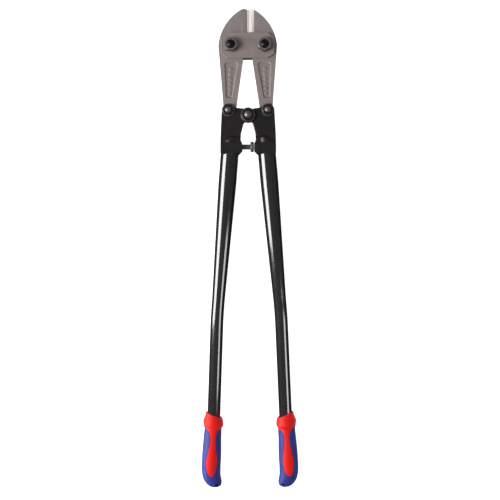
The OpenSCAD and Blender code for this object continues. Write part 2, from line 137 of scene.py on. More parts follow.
def soften(piece, width, segments=2, angle=28):
    """Rounds the edges by a small bevel, following the edge weights where no angle is given."""
    bevel = piece.modifiers.new("edge_round", "BEVEL")
    bevel.width = width
    bevel.segments = segments
    bevel.limit_method = "ANGLE" if angle else "WEIGHT"
    bevel.angle_limit = math.radians(angle or 30)
    bevel.miter_outer = "MITER_ARC"
    normals = piece.modifiers.new("face_weight", "WEIGHTED_NORMAL")
    normals.keep_sharp = False
    return apply_modifiers(piece)


def hand_over(piece, body, slot, *nodes):
    """Gives the piece its body and puts it in place of its CAD nodes; the slot is not used."""
    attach(piece, body)
    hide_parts(*nodes)


def draft_pockets(piece, floor_depth, draft):
    """Slopes the pocket walls by moving the outline of each pocket floor inwards."""
    work = bmesh.new()
    work.from_mesh(piece.data)
    work.normal_update()
    moves = []
    for vert in work.verts:
        upright = [e for e in vert.link_edges if abs(e.verts[0].co.z - e.verts[1].co.z) > 1 * mm
                   and (e.verts[0].co - e.verts[1].co).xy.length < 0.05 * mm]
        if not upright or abs(abs(vert.co.z - mid_z) - floor_depth) > SAME_LEVEL:
            continue
        walls = [f.normal.xy for f in upright[0].link_faces]
        between = walls[0] + walls[1]
        moves.append((vert, between * draft / (1 + walls[0].dot(walls[1]))))
    for vert, step in moves:
        vert.co.xy += step
    work.to_mesh(piece.data)
    work.free()


def weigh_edges(piece, wide, narrow, start_x):
    """Bevel weights: full on the long outer edges of a jaw, and a small share on the others."""
    work = bmesh.new()
    work.from_mesh(piece.data)
    work.normal_update()
    layer = work.edges.layers.float.new("bevel_weight_edge")
    for edge in work.edges:
        if len(edge.link_faces) != 2 or edge.calc_face_angle() < math.radians(25):
            continue
        edge[layer] = narrow / wide
        flat = [f for f in edge.link_faces if abs(f.normal.z) > 0.99]
        wall = [f for f in edge.link_faces if abs(f.normal.z) < 0.1]
        if not flat or not wall:
            continue
        height = abs(flat[0].calc_center_median().z - mid_z)
        if abs(height - jaw_face) > SAME_LEVEL:
            continue
        spot = (edge.verts[0].co + edge.verts[1].co) / 2
        outwards = wall[0].normal.x * (1 if spot.x > 0 else -1)
        if outwards > 0.2 and abs(spot.x) > start_x and spot.y > arm_end:
            edge[layer] = 1.0
    work.to_mesh(piece.data)
    work.free()


jaw_low, jaw_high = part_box("right_jaw")
strap_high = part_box("front_strap")[1]
mid_z = (jaw_low.z + jaw_high.z) / 2
jaw_face = (jaw_high.z - jaw_low.z) / 2
arm_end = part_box("right_tail_washer")[1].y
SAME_LEVEL = 0.1 * mm
BEVEL_WIDTH, BEVEL_UNDER_STRAP = 12.4 * mm, 12 * mm
ROUND_FROM_X = 12 * mm
POCKET_DEPTH, POCKET_DRAFT = 2.2 * mm, 2.4 * mm
WIDE_ROUND, SMALL_ROUND = 2.2 * mm, 0.45 * mm

# Shot-blasted forging steel: a matt, warm mid grey that mottles slowly, under fine grit pits
blasted, tree, place = new_material("shot_blasted_forging_steel")
slow = add(tree, "ShaderNodeTexNoise", {"Vector": place, "Scale": 70, "Detail": 4, "Roughness": 0.6})
grit = add(tree, "ShaderNodeTexNoise", {"Vector": place, "Scale": 1400, "Detail": 3, "Roughness": 0.6})
mottle = add(tree, "ShaderNodeMix", {0: slow.outputs["Fac"], 6: linear("#847A78"), 7: linear("#9A908D")},
             data_type="RGBA")
fleck = add(tree, "ShaderNodeMapRange", {"Value": grit.outputs["Fac"], "From Min": 0.3, "From Max": 0.7,
                                         "To Min": 0.9, "To Max": 1.08})
tone = add(tree, "ShaderNodeMix", {0: 1.0, 6: mottle.outputs[2], 7: fleck.outputs["Result"]},
           data_type="RGBA", blend_type="MULTIPLY")
rough = add(tree, "ShaderNodeMapRange", {"Value": slow.outputs["Fac"], "From Min": 0.3, "From Max": 0.7,
                                         "To Min": 0.5, "To Max": 0.62})
pits = add(tree, "ShaderNodeBump", {"Height": grit.outputs["Fac"], "Strength": 0.35, "Distance": 0.06 * mm})
finish_material(tree, add(tree, "ShaderNodeBsdfPrincipled", {
    "Base Color": tone.outputs[2], "Roughness": rough.outputs["Result"], "Normal": pits.outputs["Normal"],
    "Specular IOR Level": 0.4}))

# Ground blade steel: bare and bright, with fine wheel marks that run across the edge
ground, tree, place = new_material("ground_blade_steel")
stretch = add(tree, "ShaderNodeMapping", {"Vector": place, "Scale": (60, 2600, 60)})
marks = add(tree, "ShaderNodeTexNoise", {"Vector": stretch.outputs["Vector"], "Scale": 1, "Detail": 3})
cloud = add(tree, "ShaderNodeTexNoise", {"Vector": place, "Scale": 120, "Detail": 3})
shade = add(tree, "ShaderNodeMix", {0: marks.outputs["Fac"], 6: linear("#C0B5AF"), 7: linear("#DDD4CE")},
            data_type="RGBA")
rough = add(tree, "ShaderNodeMapRange", {"Value": cloud.outputs["Fac"], "To Min": 0.34, "To Max": 0.5})
lines = add(tree, "ShaderNodeBump", {"Height": marks.outputs["Fac"], "Strength": 0.25, "Distance": 0.04 * mm})
finish_material(tree, add(tree, "ShaderNodeBsdfPrincipled", {
    "Base Color": shade.outputs[2], "Roughness": rough.outputs["Result"], "Metallic": 0.85,
    "Normal": lines.outputs["Normal"]}))

for side in SIDES:
    jaw = merged_copy(f"{side}_jaw", f"{side}_jaw_forging")
    draft_pockets(jaw, jaw_face - POCKET_DEPTH, POCKET_DRAFT)
    weigh_edges(jaw, WIDE_ROUND, SMALL_ROUND, ROUND_FROM_X)
    soften(jaw, WIDE_ROUND, 3, None)
    jaw.data.materials.append(blasted)
    jaw.data.materials.append(ground)
    for face in jaw.data.polygons:
        on_bevel = abs(face.center.x) < BEVEL_WIDTH and face.center.y > strap_high.y - BEVEL_UNDER_STRAP
        slanted = 0.1 < abs(face.normal.z) < 0.985 and abs(face.normal.x) > 0.15
        if on_bevel and slanted:
            face.material_index = 1
    hand_over(jaw, f"{side}_jaw", "jaw_steel", f"{side}_jaw")


# ---- Strap plates ----------------------------------------------------------------------------
# Two octagonal plates, blanked from the same steel, hold the jaws between them on the big
# bolts. Tumbling has worn a small even round on every edge.
for node in ("front_strap", "rear_strap"):
    plate = merged_copy(node, f"{node}_plate")
    soften(plate, 0.7 * mm, 3)
    plate.data.materials.append(blasted)
    hand_over(plate, "head", "strap_steel", node)


# ---- Bolts, nuts and washers -----------------------------------------------------------------
# Turned and cold-headed steel fasteners: blackened jaw bolts in dark steel nuts with a painted highlight on
# the top face and painted shade on the sides, and dark nickel-plated tail and centre bolts. Nut corners are
# chamfered and bolt ends are domed.
STEPS = 96
ANGLES = np.arange(STEPS) * 2 * math.pi / STEPS
FACE_SHARE, CHAMFER_ANGLE = 0.96, math.radians(30)
JAW_BOLT_D, JAW_NUT_ACROSS, JAW_DOME = 16 * mm, 24 * mm, 3.52 * mm
TAIL_BOLT_D, TAIL_NUT_ACROSS, TAIL_DOME = 12 * mm, 18.96 * mm, 2.64 * mm
CENTRE_BOLT_D, CENTRE_NUT_ACROSS, CENTRE_DOME = 14 * mm, 21.98 * mm, 3.08 * mm
TAIL_WASHER_D, CENTRE_WASHER_D = 24 * mm, 28 * mm


def turned(name, rows, centre, turn=0.0, closed_ring=False):
    """A solid from rows of [radius, height], each a number or one value for every angle."""
    work = bmesh.new()
    rings = []
    for radius, height in rows:
        radius = np.broadcast_to(radius, STEPS)
        height = np.broadcast_to(height, STEPS)
        if radius.max() == 0:
            rings.append([work.verts.new((centre[0], centre[1], float(height[0])))])
            continue
        ring = zip(radius.tolist(), height.tolist(), ANGLES.tolist())
        rings.append([work.verts.new((centre[0] + r * math.cos(a + turn),
                                      centre[1] + r * math.sin(a + turn), z)) for r, z, a in ring])
    pairs = list(zip(rings, rings[1:])) + ([(rings[-1], rings[0])] if closed_ring else [])
    for low, high in pairs:
        for k in range(STEPS):
            j = (k + 1) % STEPS
            corners = [low[k % len(low)], low[j % len(low)], high[j % len(high)], high[k % len(high)]]
            corners = list(dict.fromkeys(corners))
            if len(corners) > 2:
                work.faces.new(corners)
    bmesh.ops.recalc_face_normals(work, faces=work.faces)
    for face in work.faces:
        face.smooth = True
    mesh = bpy.data.meshes.new(name)
    work.to_mesh(mesh)
    work.free()
    piece = bpy.data.objects.new(name, mesh)
    bpy.context.scene.collection.objects.link(piece)
    return piece


def hexagon(across):
    """Radius of a hexagon at each angle."""
    return across / 2 / np.cos((ANGLES % (math.pi / 3)) - math.pi / 6)


def corner_chamfer(across):
    """Side radius of a hexagon, radius of its turned face, and how far the corners drop."""
    side = hexagon(across)
    face = across / 2 * FACE_SHARE
    return side, face, (side - face) * math.tan(CHAMFER_ANGLE)


def chamfered(across, low, high, at_low=False):
    """Rows of a hexagon's side, from low to high, with the corners of the high end turned off."""
    side, face, drop = corner_chamfer(across)
    first = [[face, low], [side, low + drop]] if at_low else [[side - 0.2 * mm, low], [side, low + 0.2 * mm]]
    return first + [[side, high - drop], [face, high]]


def middle(node):
    """Centre of a CAD node from above, and its lowest and highest height."""
    low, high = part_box(node)
    return (low.x + high.x) / 2, (low.y + high.y) / 2, low.z, high.z


def dark_metal(name, dark, light, roughness, metallic, scale):
    """Plated or blackened steel: a close cloudy tone, fine handling marks and a soft gloss."""
    material, tree, place = new_material(name)
    cloud = add(tree, "ShaderNodeTexNoise", {"Vector": place, "Scale": scale, "Detail": 5, "Roughness": 0.65})
    tone = add(tree, "ShaderNodeMix", {0: cloud.outputs["Fac"], 6: linear(dark), 7: linear(light)},
               data_type="RGBA")
    rough = add(tree, "ShaderNodeMapRange", {"Value": cloud.outputs["Fac"], "From Min": 0.3, "From Max": 0.7,
                                             "To Min": roughness * 0.8, "To Max": roughness * 1.25})
    fine = add(tree, "ShaderNodeTexNoise", {"Vector": place, "Scale": scale * 8, "Detail": 2})
    bump = add(tree, "ShaderNodeBump", {"Height": fine.outputs["Fac"], "Strength": 0.15,
                                        "Distance": 0.05 * mm})
    finish_material(tree, add(tree, "ShaderNodeBsdfPrincipled", {
        "Base Color": tone.outputs[2], "Roughness": rough.outputs["Result"], "Metallic": metallic,
        "Normal": bump.outputs["Normal"]}))
    return material


# Blackened bolt: a blue-black oxide skin that stays glossy on the polished dome
blackened = dark_metal("blackened_bolt_steel", "#14151A", "#2C2F38", 0.2, 0.85, 260)
# Nut top face: the nut's dark steel painted light grey, a painted highlight for the light its flat top
# catches
nut_top_painted_highlight = dark_metal("nut_top_painted_highlight_steel", "#5E5957", "#7A7471", 0.42, 0.35, 300)
# Nut sides: dark steel painted near black, partly its own dark skin and partly painted shade
nut_side_painted_shade = dark_metal("nut_side_painted_shade_black", "#151416", "#232225", 0.5, 0.4, 300)
# Dark nickel plate on the tail and centre fasteners
nickel = dark_metal("dark_nickel_plate", "#57524F", "#8B8683", 0.36, 0.85, 420)
dark_nickel = dark_metal("dark_nickel_nut", "#1B1B1E", "#35353A", 0.3, 0.7, 240)


def make_bolt(node, d, head_across, dome, material, head_turn, body, slot):
    """Chamfered hexagon head under the plate, a shank, and a domed end above the nut."""
    x, y, low, high = middle(node)
    r = d / 2
    head_top = HEAD_TOPS[node]
    ball = (r * r + dome * dome) / 2 / dome
    rise = [[ball * math.sin(t), high - ball + ball * math.cos(t)]
            for t in np.linspace(math.asin(r / ball) * 0.96, 0, 12)[:-1]]
    side, face, drop = corner_chamfer(head_across)
    rows = [[0, low], [face - 0.3 * mm, low], [face, low + 0.05 * mm], [side, low + drop],
            [side, head_top - 0.2 * mm], [side - 0.2 * mm, head_top], [r + 0.01 * mm, head_top],
            [r, head_top + 0.2 * mm], [r, high - dome - 0.3 * mm]]
    piece = turned(f"{node}_turned", rows + rise + [[0, high]], (x, y), head_turn)
    soften(piece, 0.12 * mm, 2, 30)
    piece.data.materials.append(material)
    hand_over(piece, body, slot, node)


def make_nut(node, d, across, turn, side_material, face_material, body, slot):
    """A nut with its own material on the top face, a painted highlight on the jaw nuts, and a chamfer at both
    ends of the bore.
    """
    x, y, low, high = middle(node)
    bore = d / 2 + 0.1 * mm
    rows = chamfered(across, low, high) + [[bore + 0.6 * mm, high], [bore, high - 0.6 * mm],
                                           [bore, low + 0.3 * mm], [bore + 0.3 * mm, low]]
    piece = turned(f"{node}_turned", rows, (x, y), turn, True)
    soften(piece, 0.15 * mm, 2, 25)
    piece.data.materials.append(side_material)
    piece.data.materials.append(face_material)
    # Faces that point up take the top material, which on the jaw nuts is a painted highlight
    for face in piece.data.polygons:
        if face.normal.z > 0.6:
            face.material_index = 1
    hand_over(piece, body, slot, node)


def make_washer(node, d, outer, material, body, slot):
    """A flat washer with a small round on all four edges."""
    x, y, low, high = middle(node)
    bore, rim, soft = d / 2 + 0.1 * mm, outer / 2, 0.35 * mm
    rows = [[rim - soft, low], [rim, low + soft], [rim, high - soft], [rim - soft, high],
            [bore + soft, high], [bore, high - soft], [bore, low + soft], [bore + soft, low]]
    piece = turned(f"{node}_turned", rows, (x, y), 0, True)
    soften(piece, 0.15 * mm, 2, 25)
    piece.data.materials.append(material)
    hand_over(piece, body, slot, node)


left_bracket_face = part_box("centre_washer")[0].z
right_bracket_back = 2 * mid_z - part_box("right_tail_washer")[0].z
HEAD_TOPS = {
    "left_jaw_bolt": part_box("rear_strap")[0].z, "right_jaw_bolt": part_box("rear_strap")[0].z,
    "centre_bolt": 2 * mid_z - left_bracket_face, "left_tail_bolt": 2 * mid_z - left_bracket_face,
    "right_tail_bolt": right_bracket_back,
}
for side, sign in SIDES.items():
    handle = f"{side}_handle"
    jaw_nut_turn = math.radians(168 if sign < 0 else 26)
    tail_nut_turn = math.radians(170 if sign < 0 else 20)
    make_bolt(f"{side}_jaw_bolt", JAW_BOLT_D, JAW_NUT_ACROSS, JAW_DOME, blackened,
              math.radians(30 * (sign < 0)), "head", "black_bolt")
    # The jaw nuts get painted shade on their sides and a painted highlight on their top faces
    make_nut(f"{side}_jaw_nut", JAW_BOLT_D, JAW_NUT_ACROSS, jaw_nut_turn, nut_side_painted_shade, nut_top_painted_highlight,
             "head", "jaw_nut")
    make_bolt(f"{side}_tail_bolt", TAIL_BOLT_D, TAIL_NUT_ACROSS, TAIL_DOME, nickel, 0, handle, "dark_bolt")
    make_washer(f"{side}_tail_washer", TAIL_BOLT_D, TAIL_WASHER_D, nickel, handle, "dark_bolt")
    make_nut(f"{side}_tail_nut", TAIL_BOLT_D, TAIL_NUT_ACROSS, tail_nut_turn, dark_nickel, dark_nickel,
             handle, "dark_bolt")
make_bolt("centre_bolt", CENTRE_BOLT_D, CENTRE_NUT_ACROSS, CENTRE_DOME, nickel, 0, "left_handle",
          "dark_bolt")
make_washer("centre_washer", CENTRE_BOLT_D, CENTRE_WASHER_D, nickel, "left_handle", "dark_bolt")
make_nut("centre_nut", CENTRE_BOLT_D, CENTRE_NUT_ACROSS, math.radians(30), dark_nickel, dark_nickel,
         "left_handle", "dark_bolt")


# ---- Toggle brackets -------------------------------------------------------------------------
# Two steel drop forgings dipped in satin black enamel. The thick enamel rounds every edge
# and fills the corners, so the pieces are remeshed finely and relaxed.
black_enamel, tree, place = new_material("satin_black_enamel")
cloud = add(tree, "ShaderNodeTexNoise", {"Vector": place, "Scale": 60, "Detail": 4})
peel = add(tree, "ShaderNodeTexNoise", {"Vector": place, "Scale": 700, "Detail": 2})
tone = add(tree, "ShaderNodeMix", {0: cloud.outputs["Fac"], 6: linear("#161314"), 7: linear("#221E1E")},
           data_type="RGBA")
rough = add(tree, "ShaderNodeMapRange", {"Value": cloud.outputs["Fac"], "From Min": 0.3, "From Max": 0.7,
                                         "To Min": 0.22, "To Max": 0.32})
skin = add(tree, "ShaderNodeBump", {"Height": peel.outputs["Fac"], "Strength": 0.3, "Distance": 0.05 * mm})
finish_material(tree, add(tree, "ShaderNodeBsdfPrincipled", {
    "Base Color": tone.outputs[2], "Roughness": rough.outputs["Result"], "Normal": skin.outputs["Normal"],
    "Specular IOR Level": 0.4}))

for side in SIDES:
    bracket = merged_copy(f"{side}_bracket", f"{side}_bracket_forging", 0)
    remesh = bracket.modifiers.new("skin", "REMESH")
    remesh.mode = "VOXEL"
    remesh.voxel_size = 0.65 * mm
    remesh.use_smooth_shade = True
    relax = bracket.modifiers.new("relax", "SMOOTH")
    relax.factor = 0.5
    relax.iterations = 8
    apply_modifiers(bracket)
    bracket.data.materials.append(black_enamel)
    hand_over(bracket, f"{side}_handle", "black_forging", f"{side}_bracket")


# ---- Stop screw ------------------------------------------------------------------------------
# A zinc-plated hexagon screw, threaded into the left bracket. It is turned to set where the
# handles stop against each other.
zinc = dark_metal("oiled_zinc_plate", "#57514D", "#77706B", 0.4, 0.25, 260)
screw_low, screw_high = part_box("stop_screw")
thread_r, thread_depth, pitch = 5 * mm, 0.5 * mm, 1.5 * mm
head_across, head_height = 17 * mm, 6.6 * mm
screw_length = screw_high.x - screw_low.x
shank_end = screw_length - head_height
rows = [[0, 0], [thread_r - 1.1 * mm, 0]]
for height in np.arange(0.6 * mm, shank_end - 0.4 * mm, 0.25 * mm):
    wave = np.abs(((height / pitch - ANGLES / (2 * math.pi)) % 1) * 2 - 1)
    rows.append([thread_r - thread_depth * np.clip(wave * 1.3 - 0.1, 0, 1), float(height)])
rows.append([thread_r - 0.05 * mm, shank_end - 0.2 * mm])
rows += [[thread_r, shank_end]] + chamfered(head_across, shank_end, screw_length, True) + [[0, screw_length]]
screw = turned("stop_screw_turned", rows, (0, 0), math.radians(30))
screw.data.transform(Matrix.Translation((screw_low.x, (screw_low.y + screw_high.y) / 2, mid_z))
                     @ Matrix.Rotation(math.radians(90), 4, "Y"))
screw.data.materials.append(zinc)
screw.data.shade_smooth()
hand_over(screw, "stop_screw", "zinc_screw", "stop_screw")


# ---- Handle tubes ----------------------------------------------------------------------------
# Drawn steel tube, swaged to a long taper and bent once, in thick gloss black powder coat.
# The tube is a circle swept along a curve, and its radius follows the taper.
TUBE_TOP, TUBE_LOW = 17.15 * mm, 12.25 * mm
UPPER_LEAN, LOWER_LEAN = math.radians(4.7), math.radians(2.2)
TOP_RUN, TAPER, MID_RUN, BEND_RADIUS = 55 * mm, 225 * mm, 32 * mm, 900 * mm
SPIGOT_RADIUS, SPIGOT_LENGTH, INTO_SOCKET = 13.45 * mm, 28 * mm, 0.5 * mm

powder_coat, tree, place = new_material("gloss_black_powder_coat")
cloud = add(tree, "ShaderNodeTexNoise", {"Vector": place, "Scale": 40, "Detail": 3})
peel = add(tree, "ShaderNodeTexNoise", {"Vector": place, "Scale": 420, "Detail": 1})
tone = add(tree, "ShaderNodeMix", {0: cloud.outputs["Fac"], 6: linear("#121011"), 7: linear("#1B1919")},
           data_type="RGBA")
orange_peel = add(tree, "ShaderNodeBump", {"Height": peel.outputs["Fac"], "Strength": 0.1,
                                           "Distance": 0.05 * mm})
rough = add(tree, "ShaderNodeMapRange", {"Value": cloud.outputs["Fac"], "To Min": 0.07, "To Max": 0.14})
finish_material(tree, add(tree, "ShaderNodeBsdfPrincipled", {
    "Base Color": tone.outputs[2], "Roughness": rough.outputs["Result"],
    "Normal": orange_peel.outputs["Normal"]}))

# Node tree: sweeps a circle whose radius runs down a straight taper
taper_tree = bpy.data.node_groups.new("tapered_tube", "GeometryNodeTree")
for name, kind in (("Curve", "NodeSocketGeometry"), ("Top radius", "NodeSocketFloat"),
                   ("Low radius", "NodeSocketFloat"), ("Taper start", "NodeSocketFloat"),
                   ("Taper length", "NodeSocketFloat"), ("Sides", "NodeSocketInt"),
                   ("Finish", "NodeSocketMaterial")):
    taper_tree.interface.new_socket(name, in_out="INPUT", socket_type=kind)
taper_tree.interface.new_socket("Tube", in_out="OUTPUT", socket_type="NodeSocketGeometry")
given = add(taper_tree, "NodeGroupInput").outputs
along = add(taper_tree, "GeometryNodeSplineParameter").outputs["Length"]
end = add(taper_tree, "ShaderNodeMath", {0: given["Taper start"], 1: given["Taper length"]}, operation="ADD")
radius = add(taper_tree, "ShaderNodeMapRange", {
    "Value": along, "From Min": given["Taper start"], "From Max": end.outputs[0],
    "To Min": given["Top radius"], "To Max": given["Low radius"]})
circle = add(taper_tree, "GeometryNodeCurvePrimitiveCircle", {"Resolution": given["Sides"], "Radius": 1.0})
swept = add(taper_tree, "GeometryNodeCurveToMesh", {
    "Curve": given["Curve"], "Profile Curve": circle.outputs["Curve"], "Scale": radius.outputs["Result"],
    "Fill Caps": True})
whole = add(taper_tree, "GeometryNodeRealizeInstances", {"Geometry": swept.outputs["Mesh"]})
painted = add(taper_tree, "GeometryNodeSetMaterial", {
    "Geometry": whole.outputs["Geometry"], "Material": given["Finish"]})
add(taper_tree, "NodeGroupOutput", {"Tube": painted.outputs["Geometry"]})


def tube_path(mouth, low_end):
    """Points down the middle of a tube: a straight run, a wide bend and a straight run."""
    upper = Vector((math.sin(UPPER_LEAN), -math.cos(UPPER_LEAN)))
    lower = Vector((math.sin(LOWER_LEAN), -math.cos(LOWER_LEAN)))
    corner = mouth + upper * (TOP_RUN + TAPER + MID_RUN)
    reach = BEND_RADIUS * math.tan((UPPER_LEAN - LOWER_LEAN) / 2)
    points = [mouth - upper * INTO_SOCKET]
    run = TOP_RUN + TAPER + MID_RUN - reach
    points += [mouth + upper * run * k / 60 for k in range(61)]
    start, stop = corner - upper * reach, corner + lower * reach
    for k in range(1, 16):
        t = k / 16
        points.append(start * (1 - t) ** 2 + corner * 2 * t * (1 - t) + stop * t * t)
    length = (stop.y - low_end) / math.cos(LOWER_LEAN)
    points += [stop + lower * length * k / 20 for k in range(21)]
    return points


for side, sign in SIDES.items():
    bracket_low, bracket_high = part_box("right_bracket")
    tube_end_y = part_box(f"{side}_tube")[0].y
    mouth = Vector((bracket_high.x - TUBE_TOP / math.cos(UPPER_LEAN), bracket_low.y))
    points = tube_path(mouth, tube_end_y)
    curve = bpy.data.curves.new(f"{side}_tube_line", "CURVE")
    curve.dimensions = "3D"
    spline = curve.splines.new("POLY")
    spline.points.add(len(points) - 1)
    for knot, point in zip(spline.points, points):
        knot.co = (sign * point.x, point.y, mid_z, 1)
    tube = bpy.data.objects.new(f"{side}_tube_line", curve)
    bpy.context.scene.collection.objects.link(tube)
    sweep = tube.modifiers.new("sweep", "NODES")
    sweep.node_group = taper_tree
    values = {"Top radius": TUBE_TOP, "Low radius": TUBE_LOW, "Taper start": TOP_RUN + INTO_SOCKET,
              "Taper length": TAPER, "Sides": 96, "Finish": powder_coat}
    for item in taper_tree.interface.items_tree:
        if item.in_out == "INPUT" and item.name in values:
            sweep[item.identifier] = values[item.name]
    bpy.context.view_layer.update()
    graph = bpy.context.evaluated_depsgraph_get()
    made = bpy.data.meshes.new_from_object(tube.evaluated_get(graph), depsgraph=graph)
    bpy.data.objects.remove(tube)
    # The spigot is a plain turned-down end that fills the bracket's socket
    with_spigot = bmesh.new()
    with_spigot.from_mesh(made)
    half_way = mouth - Vector((math.sin(UPPER_LEAN), -math.cos(UPPER_LEAN))) * SPIGOT_LENGTH / 2
    bmesh.ops.create_cone(
        with_spigot, cap_ends=True, segments=96, radius1=SPIGOT_RADIUS, radius2=SPIGOT_RADIUS,
        depth=SPIGOT_LENGTH, matrix=Matrix.Translation((sign * half_way.x, half_way.y, mid_z))
        @ Matrix.Rotation(sign * UPPER_LEAN, 4, "Z") @ Matrix.Rotation(math.radians(90), 4, "X"))
    with_spigot.to_mesh(made)
    with_spigot.free()
    made.shade_smooth()
    swept_tube = bpy.data.objects.new(f"{side}_tube_coated", made)
    bpy.context.scene.collection.objects.link(swept_tube)
    hand_over(swept_tube, f"{side}_handle", "gloss_tube", f"{side}_tube")


# ---- Grips -----------------------------------------------------------------------------------
# Blue polypropylene handles pushed on the tubes, with soft red rubber moulded over them: a
# ridged collar with a slanted mouth, and a long tongue sunk flush in each face.
GRIP_LENGTH, GRIP_HALF_DEPTH = 139 * mm, 20 * mm
MOUTH_SLANT, RIDGE_SLANT = math.tan(math.radians(17)), math.tan(math.radians(10))
LOW_SLANT = math.tan(math.radians(15))
RIDGE_AT, COLLAR_LOW, RIDGE_RISE = 15.5 * mm, 22.6 * mm, 1 * mm
RIDGE_DIP, LOW_DIP = 6.5 * mm, 3.5 * mm
SQUARENESS = 0.9
# Distance down the grip, outer half width, inner half width, share of the half depth
GRIP_ROWS = np.array([
    [-8, 14.65, 12.65, 0.71], [0, 16.05, 14.05, 0.79], [12, 19.05, 17.75, 0.93],
    [20, 18.85, 17.55, 0.94], [26, 17.05, 15.65, 0.87], [42, 18.05, 15.45, 0.91],
    [62, 19.25, 16.05, 0.97], [82, 20.05, 16.45, 1], [100, 20.15, 16.05, 0.99],
    [112, 19.05, 16.25, 0.95], [121, 16.85, 17.85, 0.89], [128, 13.15, 19.25, 0.78],
    [134, 7.55, 18.05, 0.62], [138, 0.5, 12.5, 0.3], [139, -4, 7.5, 0.1]])
# Distance down the grip and half width of the red tongue
TONGUE_ROWS = np.array([
    [18, 17], [21, 16.2], [24, 13.8], [28, 10.4], [32, 7.6], [36, 5.6], [40, 4.6], [52, 5],
    [64, 7], [76, 9.2], [86, 10.3], [96, 9.7], [105, 8], [111, 5.6], [114.4, 2.6], [115.2, 0]])
TONGUE_SHIFT, TONGUE_LEAN, TONGUE_END = -1 * mm, math.radians(1.2), 115.2 * mm


def smooth_rows(rows, at):
    """Values between the rows, by cubic curves that never overshoot."""
    x, y = rows[:, 0] * mm, rows[:, 1:]
    step = np.diff(x)[:, None]
    slope = np.diff(y, axis=0) / step
    both = slope[:-1] * slope[1:]
    inner = np.where(both > 0, 2 * both / np.where(both > 0, slope[:-1] + slope[1:], 1), 0)
    tangent = np.vstack([slope[:1], inner, slope[-1:]])
    i = np.clip(np.searchsorted(x, at, side="right") - 1, 0, len(x) - 2)
    t = ((at - x[i]) / (x[i + 1] - x[i]))[..., None]
    h = (x[i + 1] - x[i])[..., None]
    return (y[i] * (2 * t ** 3 - 3 * t ** 2 + 1) + h * tangent[i] * (t ** 3 - 2 * t ** 2 + t)
            + y[i + 1] * (3 * t ** 2 - 2 * t ** 3) + h * tangent[i + 1] * (t ** 3 - t ** 2))


def grip_section(distance):
    """Shift, half width and half depth of the grip at a distance down it."""
    values = smooth_rows(GRIP_ROWS, distance)
    outer, inner = values[..., 0] * mm, values[..., 1] * mm
    return (outer - inner) / 2, (outer + inner) / 2, values[..., 2] * GRIP_HALF_DEPTH


def signed_power(value, power):
    """The power of a size, with the sign kept."""
    return np.sign(value) * np.abs(value) ** power


def tongue_half(distance):
    """Half width of the red tongue at a distance down the grip."""
    inside = np.clip(distance, TONGUE_ROWS[0, 0] * mm, TONGUE_ROWS[-1, 0] * mm)
    return smooth_rows(TONGUE_ROWS, inside)[..., 0] * mm


def tongue_middle(distance):
    """Middle line of the tongue, which leans a little across the grip."""
    return TONGUE_SHIFT + distance * math.tan(TONGUE_LEAN)


def grid_mesh(grids, wrap):
    """A mesh from grids of points; wrap says whether the columns close into a ring."""
    work = bmesh.new()
    made = []
    for grid in grids:
        made.append([[work.verts.new(tuple(map(float, p))) for p in row] for row in grid])
        rows = made[-1]
        for a, b in zip(rows, rows[1:]):
            n = len(a)
            for k in range(n if wrap else n - 1):
                work.faces.new((a[k], a[(k + 1) % n], b[(k + 1) % n], b[k]))
    return work, made


def as_piece(work, name, material):
    """A smooth piece of one material, with doubled points merged and faces turned outward."""
    bmesh.ops.remove_doubles(work, verts=work.verts, dist=0.003 * mm)
    bmesh.ops.recalc_face_normals(work, faces=work.faces)
    for face in work.faces:
        face.smooth = True
    mesh = bpy.data.meshes.new(name)
    work.to_mesh(mesh)
    work.free()
    mesh.materials.append(material)
    piece = bpy.data.objects.new(name, mesh)
    bpy.context.scene.collection.objects.link(piece)
    return piece


def moulded(name, deep, bright, roughness, grain, sheen):
    """Moulded grip plastic or rubber: even colour, spark-eroded mould grain, a soft sheen."""
    material, tree, place = new_material(name)
    cloud = add(tree, "ShaderNodeTexNoise", {"Vector": place, "Scale": 45, "Detail": 4})
    fine = add(tree, "ShaderNodeTexNoise", {"Vector": place, "Scale": grain, "Detail": 3, "Roughness": 0.7})
    tone = add(tree, "ShaderNodeMix", {0: cloud.outputs["Fac"], 6: linear(deep), 7: linear(bright)},
               data_type="RGBA")
    rough = add(tree, "ShaderNodeMapRange", {"Value": fine.outputs["Fac"], "From Min": 0.3, "From Max": 0.7,
                                             "To Min": roughness - 0.06, "To Max": roughness + 0.08})
    bump = add(tree, "ShaderNodeBump", {"Height": fine.outputs["Fac"], "Strength": 0.35,
                                        "Distance": 0.08 * mm})
    finish_material(tree, add(tree, "ShaderNodeBsdfPrincipled", {
        "Base Color": tone.outputs[2], "Roughness": rough.outputs["Result"], "Normal": bump.outputs["Normal"],
        "Sheen Weight": sheen, "Sheen Roughness": 0.4, "Specular IOR Level": 0.3}))
    return material


# Blue polypropylene: fine mould grain, satin
blue_plastic = moulded("moulded_blue_polypropylene", "#2B3580", "#384394", 0.45, 900, 0.0)
# Red thermoplastic rubber: matt, slightly velvety
red_rubber = moulded("moulded_red_rubber", "#E6100A", "#F81C14", 0.48, 1100, 0.05)

ROUND_STEPS, TONGUE_STEPS = 192, 49
COLLAR_RADIUS, COLLAR_TUCK, CHANNEL_DEPTH, BORE_END = 17 * mm, 0.8 * mm, 0.7 * mm, 124 * mm
around = np.arange(ROUND_STEPS) * 2 * math.pi / ROUND_STEPS
cosine, sine = signed_power(np.cos(around), SQUARENESS), signed_power(np.sin(around), SQUARENESS)

